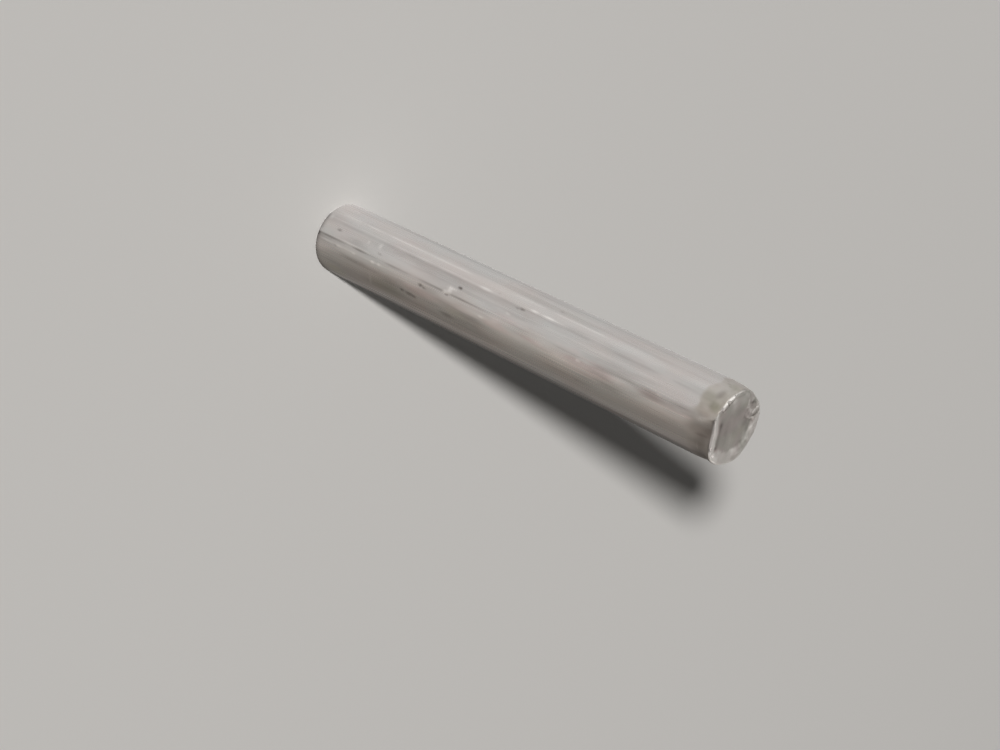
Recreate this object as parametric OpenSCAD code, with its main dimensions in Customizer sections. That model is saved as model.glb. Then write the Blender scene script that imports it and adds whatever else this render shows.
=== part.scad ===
// Dowel pin: one round bar with a plain end, a ground shank, a lead taper and a worn, struck tip.
// It stands on its plain end. +Z runs along the axis to the tip, and -Y is the front.
// All sizes are in millimetres and all angles in degrees.
// Directions round the pin are counted from +X towards +Y.

/* [Pin] */
// Diameter of the shank
pin_d = 6.35; // [4:0.05:20]
// Overall length, from the plain end to the flat of the tip
pin_len = 44.45; // [12:0.05:120]
// Radius of the rounded edge at the plain end
base_round = 0.3; // [0.1:0.05:0.6]

/* [Lead] */
// Length of the lead taper below the tip
lead_len = 1.9; // [1:0.1:5]
// Slope of the lead taper, measured from the axis
lead_angle = 3.5; // [1:0.5:12]

/* [Worn tip] */
// Width of the worn rim where it is narrowest
rim_narrow = 0.36; // [0.2:0.02:0.6]
// Width of the worn rim where it is broadest
rim_broad = 1.1; // [0.7:0.05:1.4]
// Direction of the broadest part of the rim
rim_turn = 56; // [0:1:359]
// Radius of curvature with which the rim rolls off the flat
rim_curve = 6; // [1.6:0.1:8]

/* [Dent] */
// Depth of the dent in the rim, measured inwards at the tip
dent_depth = 0.4; // [0.1:0.02:0.6]
// Radius of the hard edge that made the dent
dent_r = 3.5; // [3:0.5:20]
// Direction of the dent
dent_turn = -62; // [-180:1:180]
// Lean of the dent, so that it runs out below the tip
dent_lean = 15; // [10:1:60]

/* [Gouges] */
// Number of gouges that lie side by side across the tip
gouge_count = 3; // [1:1:4]
// Depth of a gouge at the rim, measured below the flat
gouge_depth = 0.3; // [0.2:0.02:0.5]
// Radius of a gouge's round floor
gouge_r = 0.4; // [0.3:0.05:0.6]
// Spacing between neighbouring gouges
gouge_step = 0.62; // [0.4:0.02:0.8]
// Distance from the rim at which a gouge has run out
gouge_run = 1.9; // [1.2:0.1:2.4]
// Direction from which the middle of the gouges comes
gouge_turn = 148; // [0:1:359]
// Angle by which each gouge turns away from the one before it
gouge_fan = 13; // [0:1:20]

/* [Hidden] */
// Facets of a full circle in a preview
$fn = 96;
// Overlap that carries a cut clear of the faces it cuts through
over = 1;
steel = [0.62, 0.61, 0.59];
pin_r = pin_d / 2;
lead_z = pin_len - lead_len;
// Radius of the lead taper at a height along the pin
function lead_r(z) = pin_r - (z - lead_z) * tan(lead_angle);
tip_r = lead_r(pin_len);
// The flat is what the narrow and the broad side of the rim leave between them
flat_r = tip_r - (rim_narrow + rim_broad) / 2;
flat_shift = (rim_broad - rim_narrow) / 2;
gouge_slope = atan(gouge_depth / gouge_run);

// Round bar with its lead taper, left long at the tip, and its rounded edge at the plain end
module blank() {
    rotate_extrude()
        difference() {
            polygon([
                [0, 0],
                [pin_r, 0],
                [pin_r, lead_z],
                [lead_r(pin_len + over), pin_len + over],
                [0, pin_len + over]
            ]);
            translate([pin_r - base_round, 0])
                difference() {
                    translate([0, -over])
                        square([base_round + over, base_round + over]);
                    translate([0, base_round])
                        circle(base_round);
                }
        }
}

// Everything below the worn tip: a flat that rolls off into a rounded rim, set off the pin's axis
module below_worn_tip() {
    rotate([0, 0, rim_turn])
        translate([-flat_shift, 0, 0])
            rotate_extrude() {
                translate([0, -over])
                    square([flat_r, pin_len + over]);
                translate([0, -over])
                    square([flat_r + rim_curve, pin_len - rim_curve + over]);
                intersection() {
                    translate([flat_r, pin_len - rim_curve])
                        circle(rim_curve);
                    translate([flat_r - over / 2, pin_len - rim_curve - over])
                        square([rim_curve + over, rim_curve + 2 * over]);
                }
            }
}

// Dent in the rim: a round edge that leans, deepest at the tip
module dent() {
    dent_h = 2 * pin_d;
    rotate([0, 0, dent_turn])
        translate([tip_r - dent_depth, 0, pin_len])
            rotate([0, -dent_lean, 0])
                translate([dent_r, 0, -dent_h / 2])
                    cylinder(r = dent_r, h = dent_h);
}

// One gouge: a round-floored groove that slopes up from the rim to nothing.
// Its place in the row is 0 in the middle, and it is turned and shifted by that many steps.
module gouge(place) {
    rotate([0, 0, gouge_turn])
        translate([tip_r - gouge_run, place * gouge_step, pin_len])
            rotate([0, 0, place * gouge_fan])
                rotate([0, 90 + gouge_slope, 0])
                    translate([-gouge_r, 0, -gouge_run])
                        cylinder(r = gouge_r, h = 3 * gouge_run);
}

module dowel_pin() {
    color(steel)
        difference() {
            intersection() {
                blank();
                below_worn_tip();
            }
            dent();
            for (i = [0 : gouge_count - 1])
                gouge(i - (gouge_count - 1) / 2);
        }
}

dowel_pin();
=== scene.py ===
"""A worn steel dowel pin, standing on its plain end on a pale studio floor.

The pin is one closed surface on a grid of two parameters: how far along the outline, from the middle
of the plain end up to the middle of the tip, and how far round the pin. Most marks are a rise or a
fall of that surface in millimetres, and most are also painted lighter or darker: partly stains, wear
and dirt, partly painted highlights, glints and shade, most following their relief and some standing
in for reflections. Some marks are painted only, with no rise. Turns round the pin are in degrees,
counted from the front (-Y) towards +X.
"""
import logging
import math
from dataclasses import dataclass
from enum import Enum

import bpy
import numpy as np
from mathutils import Matrix, Vector


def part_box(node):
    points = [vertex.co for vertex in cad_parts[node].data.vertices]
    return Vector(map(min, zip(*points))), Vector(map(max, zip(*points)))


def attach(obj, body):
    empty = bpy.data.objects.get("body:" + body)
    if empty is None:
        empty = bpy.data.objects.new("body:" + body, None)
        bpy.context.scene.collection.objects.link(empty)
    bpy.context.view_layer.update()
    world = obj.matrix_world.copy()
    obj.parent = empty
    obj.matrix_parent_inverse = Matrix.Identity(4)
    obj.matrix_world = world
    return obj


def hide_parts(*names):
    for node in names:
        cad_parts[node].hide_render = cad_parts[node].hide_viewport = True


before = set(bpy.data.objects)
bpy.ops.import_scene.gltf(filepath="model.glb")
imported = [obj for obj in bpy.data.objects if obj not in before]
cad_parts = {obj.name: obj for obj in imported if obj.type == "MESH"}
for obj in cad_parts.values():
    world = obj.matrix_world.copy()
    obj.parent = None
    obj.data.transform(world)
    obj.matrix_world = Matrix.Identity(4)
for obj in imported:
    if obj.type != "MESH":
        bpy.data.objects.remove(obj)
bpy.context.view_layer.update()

MM = 0.001
NODE = "dowel_pin"
TWO_LAYERS = 1.5  # the strengths of two layers of noise together, 1 + 1/2
LINE_SEED = 41  # the start of the noise along the die lines
NICK_SEED = 73  # the start of the random numbers that place the small nicks
STAIN_SEED = 29  # the start of those that place the stains

MATT = {"Roughness": 1.0, "Specular IOR Level": 0.0}  # what makes a painted surface matt

Array = np.ndarray
Socket = bpy.types.NodeSocket
Colour = tuple[float, float, float, float]
log = logging.getLogger("dowel_pin")


# ---------------------------------------------------------------- helpers


def smooth_step(value: Array, start: float, end: float) -> Array:
    """Rises from 0 at start to 1 at end along 3t^2 - 2t^3.

    Args:
        value: the numbers to judge.
        start: where the rise begins.
        end: where it is complete.

    Returns:
        The share reached at each number.
    """
    share = np.clip((value - start) / (end - start), 0.0, 1.0)
    return share * share * (3.0 - 2.0 * share)


def bump_of(distance: Array, width: float) -> Array:
    """A bell, exp(-(distance / width)^2), that is 1 in the middle."""
    return np.exp(-((distance / width) ** 2))


def turn_between(turn: Array, other: float) -> Array:
    """The shortest turn in degrees from other to turn, between -180 and 180."""
    return (turn - other + 180.0) % 360.0 - 180.0


def add_object(name: str, data: bpy.types.ID) -> bpy.types.Object:
    """Puts an object that shows this data into the scene."""
    made = bpy.data.objects.new(name, data)
    bpy.context.scene.collection.objects.link(made)
    return made


@dataclass(frozen=True)
class Grain:
    """Seeded noise on a grid of cells that repeats in both directions.

    Attributes:
        seed: the start of the random numbers.
        across: the number of cells along the first direction.
        along: the number of cells along the second direction.
    """

    seed: int
    across: int
    along: int

    def at(self, first: Array, second: Array) -> Array:
        """Noise between -1 and 1: the four corner values of a cell, blended with smooth steps.

        Args:
            first: the place along the first direction, where 1 is once round the grid.
            second: the place along the second direction.

        Returns:
            The noise at each place.
        """
        corners = np.random.default_rng(self.seed).uniform(-1.0, 1.0, (self.across, self.along))
        first, second = np.broadcast_arrays(first * self.across, second * self.along)
        low_a, low_b = np.floor(first).astype(int), np.floor(second).astype(int)
        share_a = smooth_step(first - low_a, 0.0, 1.0)
        share_b = smooth_step(second - low_b, 0.0, 1.0)
        total = np.zeros(first.shape)
        for step_a, weight_a in ((0, 1.0 - share_a), (1, share_a)):
            for step_b, weight_b in ((0, 1.0 - share_b), (1, share_b)):
                corner = corners[(low_a + step_a) % self.across, (low_b + step_b) % self.along]
                total += corner * weight_a * weight_b
        return total


@dataclass(frozen=True)
class Layered:
    """Several grains on top of each other, each twice as fine and half as strong as the last.

    Attributes:
        seed: the start of the random numbers.
        across: cells of the coarsest grain along the first direction.
        along: cells of the coarsest grain along the second direction.
        layers: how many grains are added.
    """

    seed: int
    across: int
    along: int
    layers: int

    def at(self, first: Array, second: Array) -> Array:
        """The sum of the grains, divided by what two of them come to, so that it stays near -1 to 1.

        Args:
            first: the place along the first direction.
            second: the place along the second direction.

        Returns:
            The noise at each place.
        """
        total = np.zeros(np.broadcast(first, second).shape)
        for layer in range(self.layers):
            finer = 2**layer
            grain = Grain(self.seed + layer, self.across * finer, self.along * finer)
            total += grain.at(first, second) / finer
        return total / TWO_LAYERS


# ---------------------------------------------------------------- the pin's sizes and marks


@dataclass(frozen=True)
class PinSizes:
    """The pin's own sizes, in millimetres and degrees.

    Attributes:
        radius: radius of the shank.
        length: overall length, from the plain end to the flat of the tip.
        base_round: radius of the rounded edge of the plain end.
        lead_length: length of the lead taper.
        lead_angle: slope of the lead taper.
        edge_round: size of the small round between the lead and the rim.
        rim_narrow: width of the worn rim where it is narrowest.
        rim_broad: width of the worn rim where it is broadest.
        rim_turn: where the rim is broadest.
        rim_curve: radius with which the rim rolls off the flat.
    """

    radius: float
    length: float
    base_round: float = 0.3
    lead_length: float = 1.9
    lead_angle: float = 3.5
    edge_round: float = 0.14
    rim_narrow: float = 0.36
    rim_broad: float = 1.1
    rim_turn: float = 146.0
    rim_curve: float = 6.0

    @classmethod
    def from_box(cls, box: tuple[Vector, Vector]) -> "PinSizes":
        """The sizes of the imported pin, whose radius and length its box gives."""
        low, high = box
        return cls(radius=(high.x - low.x) / 2 / MM, length=(high.z - low.z) / MM)

    @property
    def lead_start(self) -> float:
        """Height at which the lead taper begins."""
        return self.length - self.lead_length

    @property
    def tip_radius(self) -> float:
        """Radius that the lead has come down to at the tip."""
        return self.radius - self.lead_length * math.tan(math.radians(self.lead_angle))

    @property
    def flat_radius(self) -> float:
        """Radius of the flat that the rim leaves in the middle of the tip."""
        return self.tip_radius - (self.rim_narrow + self.rim_broad) / 2

    def off_flat(self, x: Array, y: Array) -> Array:
        """How far each place lies outside the flat of the tip, negative inside it.

        The flat is a circle set off the axis, away from the broad side of the rim.

        Args:
            x: places along X.
            y: places along Y.

        Returns:
            The distance to the edge of the flat.
        """
        shift = (self.rim_broad - self.rim_narrow) / 2
        turn = math.radians(self.rim_turn)
        return np.hypot(x + shift * math.sin(turn), y - shift * math.cos(turn)) - self.flat_radius

    def rim_fall(self, x: Array, y: Array) -> Array:
        """How far the rim has rolled below the flat: curve - sqrt(curve^2 - distance off the flat^2)."""
        outside = np.clip(self.off_flat(x, y), 0.0, self.rim_curve * 0.9)
        return self.rim_curve - np.sqrt(self.rim_curve**2 - outside**2)


@dataclass(frozen=True)
class Stroke:
    """A straight ridge, or a groove where its rise is negative, on the face of the tip.

    Attributes:
        start: one end, as X and Y in millimetres.
        end: the other end.
        width: half its width, where the bell has fallen to about a third.
        rise: its height.
        shade: how much lighter, or darker where negative, it is painted: on ridges and grooves a painted
            highlight and painted shade that follow its rise, on flat marks partly dirt, partly painted light
            and shade.
    """

    start: tuple[float, float]
    end: tuple[float, float]
    width: float
    rise: float
    shade: float

    def weight(self, x: Array, y: Array) -> Array:
        """A bell of the distance to the straight line from start to end."""
        from_x, from_y = x - self.start[0], y - self.start[1]
        run_x, run_y = self.end[0] - self.start[0], self.end[1] - self.start[1]
        share = np.clip((from_x * run_x + from_y * run_y) / (run_x**2 + run_y**2), 0.0, 1.0)
        return bump_of(np.hypot(from_x - share * run_x, from_y - share * run_y), self.width)


@dataclass(frozen=True)
class Spot:
    """An oval swelling, or a hollow where its rise is negative, on the face of the tip.

    Attributes:
        centre: its middle, as X and Y in millimetres.
        wide: half its size along X.
        tall: half its size along Y.
        rise: its height.
        shade: how much lighter, or darker where negative, it is painted: on swellings and hollows a painted
            highlight and painted shade that follow its rise, on flat spots partly stains, partly painted
            light and shade.
        tint: how pink, or olive where negative, its metal is.
    """

    centre: tuple[float, float]
    wide: float
    tall: float
    rise: float
    shade: float
    tint: float = 0.0

    def weight(self, x: Array, y: Array) -> Array:
        """A bell over an oval."""
        across, up = (x - self.centre[0]) / self.wide, (y - self.centre[1]) / self.tall
        return np.exp(-(across**2 + up**2))


@dataclass(frozen=True)
class RimMark:
    """Something that happened to one stretch of the rim.

    Attributes:
        turn: the middle of the stretch.
        spread: half the turn that it takes up.
        amount: how much of it there is, in millimetres.
    """

    turn: float
    spread: float
    amount: float

    def weight(self, turn: Array) -> Array:
        """The amount round the middle, falling smoothly to 0 at the spread to both sides."""
        off = np.abs(turn_between(turn, self.turn))
        return self.amount * (1.0 - smooth_step(off, self.spread * 0.5, self.spread))


@dataclass(frozen=True)
class DieLine:
    """A line drawn along the shank: a ridge, or a groove where its rise is negative.

    Attributes:
        turn: where it lies round the pin.
        low: height at which it begins.
        high: height at which it ends.
        width: half its width, in degrees.
        rise: its height in millimetres.
        shade: how much lighter, or darker where negative, its metal is.
    """

    turn: float
    low: float
    high: float
    width: float
    rise: float
    shade: float

    def weight(self, turn: Array, height: Array) -> Array:
        """A bell across the line that fades out over 2 mm at both ends."""
        fade = smooth_step(height, self.low - 1.0, self.low + 1.0)
        fade = fade * (1.0 - smooth_step(height, self.high - 1.0, self.high + 1.0))
        return fade * bump_of(turn_between(turn, self.turn), self.width)

    def clearness(self, up_share: Array) -> Array:
        """How clearly the line shows along its length: 0.85, give or take noise of 0.75."""
        grain = Grain(LINE_SEED + int(self.turn % 360.0), 1, 32)
        return 0.85 + 0.75 * grain.at(np.zeros_like(up_share), up_share)


@dataclass(frozen=True)
class Pit:
    """A small pit, scuff or stain in the shank, painted lighter or darker.

    Attributes:
        height: its place up the pin.
        turn: its place round the pin.
        tall: half its size along the pin.
        wide: half its size round the pin, in millimetres.
        depth: how deep it is, negative where metal stands proud.
        shade: how much lighter, or darker where negative, it is painted: pits darker and raised scuffs
            lighter as painted shade and painted glints, stains partly in their own tone, partly as painted
            light and shade.
        tint: how pink, or olive where negative, its metal is.
    """

    height: float
    turn: float
    tall: float
    wide: float
    depth: float
    shade: float
    tint: float = 0.0

    def weight(self, turn: Array, height: Array, radius: float) -> Array:
        """A bell with steep sides over an ellipse on the shank: exp(-distance^3)."""
        across = np.radians(turn_between(turn, self.turn)) * radius / self.wide
        up = (height - self.height) / self.tall
        return np.exp(-(np.hypot(across, up) ** 3))


@dataclass(frozen=True)
class Dent:
    """A dent that a hard round edge has left in the rim, deepest at the tip.

    Attributes:
        turn: where it lies round the pin.
        depth: how far it reaches in from the tip's edge.
        edge_radius: radius of the hard edge.
        lean: how far the hard edge leaned, so that the dent runs out down the lead.
        softness: width over which the metal rounds into the dent.
        lip: height of the metal thrown up along the dent.
        lip_inset: how far inside the dent's edge that metal is highest.
        lip_width: half the width of that metal on its steeper, outer side.
        lip_slack: how many times as wide it is on its gentler, inner side.
        fade: how far below the tip the dent begins to fade, and how far below it has gone.
    """

    turn: float = 28.0
    depth: float = 0.385
    edge_radius: float = 3.5
    lean: float = 15.0
    softness: float = 0.13
    lip: float = 0.075
    lip_inset: float = 0.22
    lip_width: float = 0.24
    lip_slack: float = 1.6
    fade: tuple[float, float] = (2.0, 3.0)

    def press(
        self, sizes: PinSizes, x: Array, y: Array, z: Array, on_face: Array
    ) -> tuple[Array, Array, Array, Array]:
        """Pushes the surface out of the hard edge and raises the lip beside it.

        The edge is a cylinder. A point's reach into it is the cylinder's radius less the distance to
        its axis. The point moves back by a soft version of that reach, away from the cylinder's axis.

        Args:
            sizes: the pin's sizes.
            x: places along X.
            y: places along Y.
            z: heights.
            on_face: 1 on the face of the tip, where the lip rises, and 0 elsewhere.

        Returns:
            The moved X, Y and Z, and how near each point is to the crest of the lip, from 0 to 1.
        """
        turn, lean = math.radians(self.turn), math.radians(self.lean)
        out_x, out_y = math.sin(turn), -math.cos(turn)
        out = x * out_x + y * out_y - (sizes.tip_radius - self.depth)
        side = y * out_x - x * out_y
        up = z - sizes.length
        across = out * math.cos(lean) + up * math.sin(lean)
        from_axis_a, from_axis_b = across - self.edge_radius, side
        distance = np.hypot(from_axis_a, from_axis_b)
        reach = self.edge_radius - distance
        pushed = self.softness * np.logaddexp(0.0, reach / self.softness)
        pushed = pushed * smooth_step(z, sizes.length - self.fade[1], sizes.length - self.fade[0])
        move_a = pushed * from_axis_a / distance
        move_b = pushed * from_axis_b / distance
        move_out, move_up = move_a * math.cos(lean), move_a * math.sin(lean)
        inward = -reach - self.lip_inset
        width = np.where(inward > 0.0, self.lip_slack * self.lip_width, self.lip_width)
        crest = bump_of(inward, width) * on_face
        moved_x = x + move_out * out_x - move_b * out_y
        moved_y = y + move_out * out_y + move_b * out_x
        moved_z = z + move_up + self.lip * crest
        return moved_x, moved_y, moved_z, crest


class Zone(Enum):
    """The stretches of the pin's outline, in order from the plain end to the tip."""

    BASE = "flat of the plain end"
    BASE_EDGE = "rounded edge of the plain end"
    SHANK = "shank"
    LEAD = "lead taper"
    EDGE = "edge between the lead and the rim"
    FACE = "face of the tip"

    @property
    def place(self) -> int:
        """Its place in that order, counted from 0."""
        return list(Zone).index(self)


# How many rows of points each zone of the outline has.
ROWS = {Zone.BASE: 7, Zone.BASE_EDGE: 9, Zone.SHANK: 182, Zone.LEAD: 18, Zone.EDGE: 9, Zone.FACE: 84}


# ---------------------------------------------------------------- the shank


@dataclass(frozen=True)
class Shank:
    """The ground shank with its die lines, pits and scuffs.

    Attributes:
        lines: the die lines that stand out.
        pits: the pits, scuffs and stains that stand out; pits are painted darker and raised scuffs lighter,
            as painted shade and painted glints.
        fine_rise: height of the fine lines that run all round the pin.
        broad_rise: height of the broader lines between them.
        wave_rise: height of the slow waves along and round the pin.
        ripple_rise: height of the ripples between the waves and the lines.
        nicks: how many small nicks are scattered over the rest of the shank.
        stains: how many stains are scattered over the scuffed side.
        scuffed_turn: the middle of the side that is scuffed and stained most.
        scuffed_spread: how far that side reaches to both sides of its middle, in degrees.
        scuffed_least: how scuffed the rest of the shank is, where 1 is fully.
        scuffed_more: how much more scuffed the middle of that side is.
        fine: the fine lines.
        broad: the broader lines.
        wave: the slow waves.
        ripple: the ripples.
        blotch: the light and dark blotches.
        cast: the pink and olive casts.
        fine_shade: how light and dark the fine lines are.
        broad_shade: how light and dark the broader lines are.
        blotch_shade: how light and dark the blotches are.
        cast_tint: how pink and olive the casts are.
    """

    lines: tuple[DieLine, ...] = (
        DieLine(-38.0, 2.0, 17.5, 1.3, 0.003, 0.85),
        DieLine(-38.0, 22.5, 32.0, 1.5, 0.003, 0.70),
        DieLine(-25.3, 0.6, 21.0, 1.4, 0.0015, 0.45),
        DieLine(-25.5, 24.5, 28.0, 1.5, 0.002, 0.80),
        DieLine(-21.0, 0.6, 42.0, 2.0, -0.001, -0.34),
        DieLine(-11.0, 9.0, 40.0, 1.6, 0.002, 0.30),
        DieLine(3.2, 1.4, 6.4, 1.0, 0.003, 0.95),
        DieLine(6.3, 0.3, 21.0, 1.7, -0.005, -0.95),
        DieLine(7.0, 19.0, 42.0, 1.3, -0.003, -0.40),
        DieLine(13.6, 0.6, 9.0, 1.2, 0.004, 1.00),
        DieLine(15.5, 9.0, 30.0, 2.4, 0.001, 0.20),
        DieLine(60.0, 1.0, 42.0, 4.0, 0.002, 0.30),
        DieLine(-62.0, 3.0, 30.0, 2.0, -0.002, -0.20),
        DieLine(118.0, 2.0, 36.0, 1.4, -0.004, -0.60),
        DieLine(151.0, 8.0, 41.0, 1.8, 0.003, 0.45),
        DieLine(-128.0, 0.6, 24.0, 1.2, 0.003, 0.50),
        DieLine(-104.0, 12.0, 42.0, 2.0, -0.003, -0.40),
    )
    pits: tuple[Pit, ...] = (
        # Sunk pits, painted darker: painted shade in the hollows.
        Pit(17.5, -9.0, 0.20, 0.13, 0.022, -2.0),
        Pit(16.4, 9.0, 0.26, 0.09, 0.022, -1.6),
        Pit(13.4, 13.5, 0.24, 0.13, 0.018, -1.8),
        Pit(13.9, 15.0, 0.14, 0.10, 0.014, -1.4),
        Pit(12.3, 35.0, 0.50, 0.16, 0.010, -1.2),
        Pit(12.9, 36.0, 0.20, 0.12, 0.010, -1.2),
        Pit(16.8, 40.0, 0.80, 0.20, 0.008, -0.7),
        Pit(11.4, 34.0, 0.18, 0.14, 0.012, -1.4),
        Pit(2.4, -9.1, 0.26, 0.13, 0.012, -1.3),
        Pit(2.6, 15.4, 0.16, 0.10, 0.010, -0.8),
        Pit(7.9, -2.0, 0.30, 0.09, 0.010, -0.9),
        Pit(24.1, -20.0, 0.26, 0.11, 0.014, -1.2),
        Pit(23.6, -18.6, 0.18, 0.09, 0.010, -0.8),
        # Raised scuffs, painted lighter: painted glints.
        Pit(16.6, 1.0, 0.24, 0.34, -0.008, 2.0),
        Pit(16.2, 6.0, 0.26, 0.16, -0.006, 2.2),
        Pit(16.9, -3.0, 0.40, 0.12, -0.006, 1.2),
        Pit(7.5, -14.0, 0.16, 0.26, -0.006, 1.5),
        Pit(6.1, -11.8, 0.16, 0.16, -0.006, 1.0),
        Pit(7.4, 14.0, 0.22, 0.12, -0.010, 2.4),
        Pit(8.2, 13.6, 0.20, 0.11, -0.008, 1.6),
        Pit(5.0, 14.6, 0.22, 0.09, -0.008, 1.4),
        Pit(3.0, 14.2, 0.40, 0.09, -0.006, 1.1),
        Pit(19.8, -24.8, 0.70, 0.13, -0.008, 1.5),
        Pit(23.1, -5.0, 0.16, 0.10, -0.006, 1.0),
        Pit(25.2, -25.5, 0.40, 0.12, -0.008, 1.6),
        Pit(26.8, -25.4, 0.60, 0.12, -0.008, 1.5),
        Pit(20.6, 17.0, 0.30, 0.10, -0.006, 1.3),
        Pit(31.2, 12.0, 0.20, 0.12, -0.006, 1.2),
        Pit(7.3, 42.0, 0.10, 0.50, -0.004, 1.0),
        Pit(0.55, -25.0, 0.22, 0.28, -0.006, 1.2),
        Pit(0.35, 2.0, 0.14, 0.16, -0.010, 1.4),
        # A nick at the plain end, painted darker: painted shade.
        Pit(0.15, 8.0, 0.14, 0.16, 0.050, -1.6),
        Pit(13.5, 24.0, 2.20, 0.36, 0.000, 0.25, 2.2),
        Pit(22.2, 19.0, 1.10, 0.30, 0.000, 0.20, 1.8),
        Pit(30.8, 15.0, 0.90, 0.34, 0.002, -0.25, 2.0),
        Pit(33.4, 13.0, 1.50, 0.40, 0.003, -0.55, 2.0),
        Pit(38.6, 11.0, 1.30, 0.34, 0.002, -0.45, 1.6),
        Pit(18.0, 30.0, 1.20, 0.36, 0.000, 0.05, -0.9),
        Pit(2.6, 60.0, 1.20, 0.50, 0.000, 0.40, -2.2),
        Pit(9.4, 44.0, 2.40, 0.50, 0.000, -0.20, -1.0),
        # On the lead: stains in the film, and painted light and shade. The light streak at turn 53 and the
        # light patch at turn 13.5 stand in for reflections; the dark patches at turns 30, 44 and 66 paint
        # shade on the lower side by the dent.
        Pit(43.4, 53.0, 0.07, 0.40, -0.004, 0.9),
        Pit(43.9, -13.0, 0.42, 0.44, 0.000, -1.3, -1.2),
        Pit(43.2, -24.0, 0.50, 0.50, 0.000, -0.4, -0.7),
        Pit(43.6, -2.0, 0.50, 0.36, 0.000, 0.7, 2.0),
        Pit(43.9, 13.5, 0.70, 0.42, 0.000, 2.4, 0.3),
        Pit(43.5, 2.5, 0.50, 0.34, 0.000, -0.8, 0.3),
        Pit(43.7, 44.0, 0.70, 0.50, 0.000, -1.3, 0.2),
        Pit(44.0, 30.0, 0.70, 0.80, 0.000, -0.7, 0.4),
        Pit(43.7, 66.0, 0.80, 0.80, 0.000, -1.8, 0.0),
        Pit(43.5, 25.0, 0.50, 0.22, 0.000, 0.6, 0.6),
        Pit(43.7, 33.0, 0.60, 0.10, 0.000, -1.0, 0.8),
        Pit(43.8, -60.0, 0.60, 0.40, 0.000, -0.4, -0.9),
        Pit(43.8, -34.0, 0.36, 0.44, 0.000, -1.5, 0.3),
        # A crease across the film: three small pits painted darker, painted shade.
        Pit(43.1, -65.0, 0.14, 0.10, 0.006, -0.9),
        Pit(43.4, -60.0, 0.14, 0.10, 0.006, -0.9),
        Pit(43.7, -55.0, 0.14, 0.10, 0.006, -0.9),
    )
    fine_rise: float = 0.0002
    broad_rise: float = 0.0014
    wave_rise: float = 0.004
    ripple_rise: float = 0.0045
    nicks: int = 30
    stains: int = 44
    scuffed_turn: float = 18.0
    scuffed_spread: float = 27.0
    scuffed_least: float = 0.45
    scuffed_more: float = 0.9
    fine: Grain = Grain(11, 110, 7)
    broad: Layered = Layered(21, 40, 3, 2)
    wave: Layered = Layered(31, 7, 5, 2)
    ripple: Layered = Layered(36, 26, 9, 2)
    blotch: Layered = Layered(81, 28, 9, 4)
    cast: Layered = Layered(85, 14, 14, 3)
    fine_shade: float = 0.05
    broad_shade: float = 0.34
    blotch_shade: float = 0.62
    cast_tint: float = 0.32

    def scattered(self, sizes: PinSizes) -> tuple[Pit, ...]:
        """Small nicks at seeded places over the whole shank."""
        random = np.random.default_rng(NICK_SEED)
        made = []
        for _ in range(self.nicks):
            height = random.uniform(2.0, sizes.lead_start - 1.0)
            turn = random.uniform(0.0, 360.0)
            tall = random.uniform(0.12, 0.4)
            wide = random.uniform(0.07, 0.12)
            sign = random.choice((-1.0, 1.0))
            depth = sign * random.uniform(0.004, 0.012)
            # Sunk nicks are painted darker and raised ones lighter, against their depth: painted shade and
            # painted glints.
            shade = -sign * random.uniform(0.2, 0.6)
            made.append(Pit(height, turn, tall, wide, depth, shade))
        return tuple(made)

    def stained(self, sizes: PinSizes) -> tuple[Pit, ...]:
        """Pinkish stains at seeded places, along a band on the scuffed side."""
        random = np.random.default_rng(STAIN_SEED)
        made = []
        for _ in range(self.stains):
            height = random.uniform(17.0, sizes.lead_start)
            turn = self.scuffed_turn + random.normal(-4.0, 7.0)
            tall = random.uniform(0.4, 2.0)
            wide = random.uniform(0.10, 0.24)
            shade = random.uniform(-0.30, 0.40)
            tint = random.uniform(0.3, 1.2)
            made.append(Pit(height, turn, tall, wide, 0.0, shade, tint))
        return tuple(made)

    def relief(self, sizes: PinSizes, turn: Array, height: Array) -> tuple[Array, Array, Array]:
        """How far the shank stands out, how light it is painted, partly as painted glints and shade, and how
        pink its metal is.

        It is the sum of the die lines, less the pits, plus noise with cells far longer than wide.

        Args:
            sizes: the pin's sizes.
            turn: the turn of each point.
            height: the height of each point.

        Returns:
            The rise in millimetres, and the shade and the tint about 0.
        """
        place = turn / 360.0, height / sizes.length
        fine, broad, blotch = self.fine.at(*place), self.broad.at(*place), self.blotch.at(*place)
        near_middle = bump_of(turn_between(turn, self.scuffed_turn), self.scuffed_spread)
        scuffed = self.scuffed_least + self.scuffed_more * near_middle
        rise = self.fine_rise * fine + self.broad_rise * broad + self.wave_rise * self.wave.at(*place)
        rise += self.ripple_rise * self.ripple.at(*place) * scuffed
        shade = self.fine_shade * fine + self.broad_shade * broad + self.blotch_shade * blotch * scuffed
        tint = self.cast_tint * self.cast.at(*place)
        for line in self.lines:
            weight = line.weight(turn, height)
            rise += line.rise * weight
            shade += line.shade * weight * line.clearness(place[1])
        for pit in (*self.pits, *self.scattered(sizes), *self.stained(sizes)):
            weight = pit.weight(turn, height, sizes.radius)
            rise -= pit.depth * weight
            shade += pit.shade * weight
            tint += pit.tint * weight
        return rise, shade, tint


# ---------------------------------------------------------------- the tip


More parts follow.
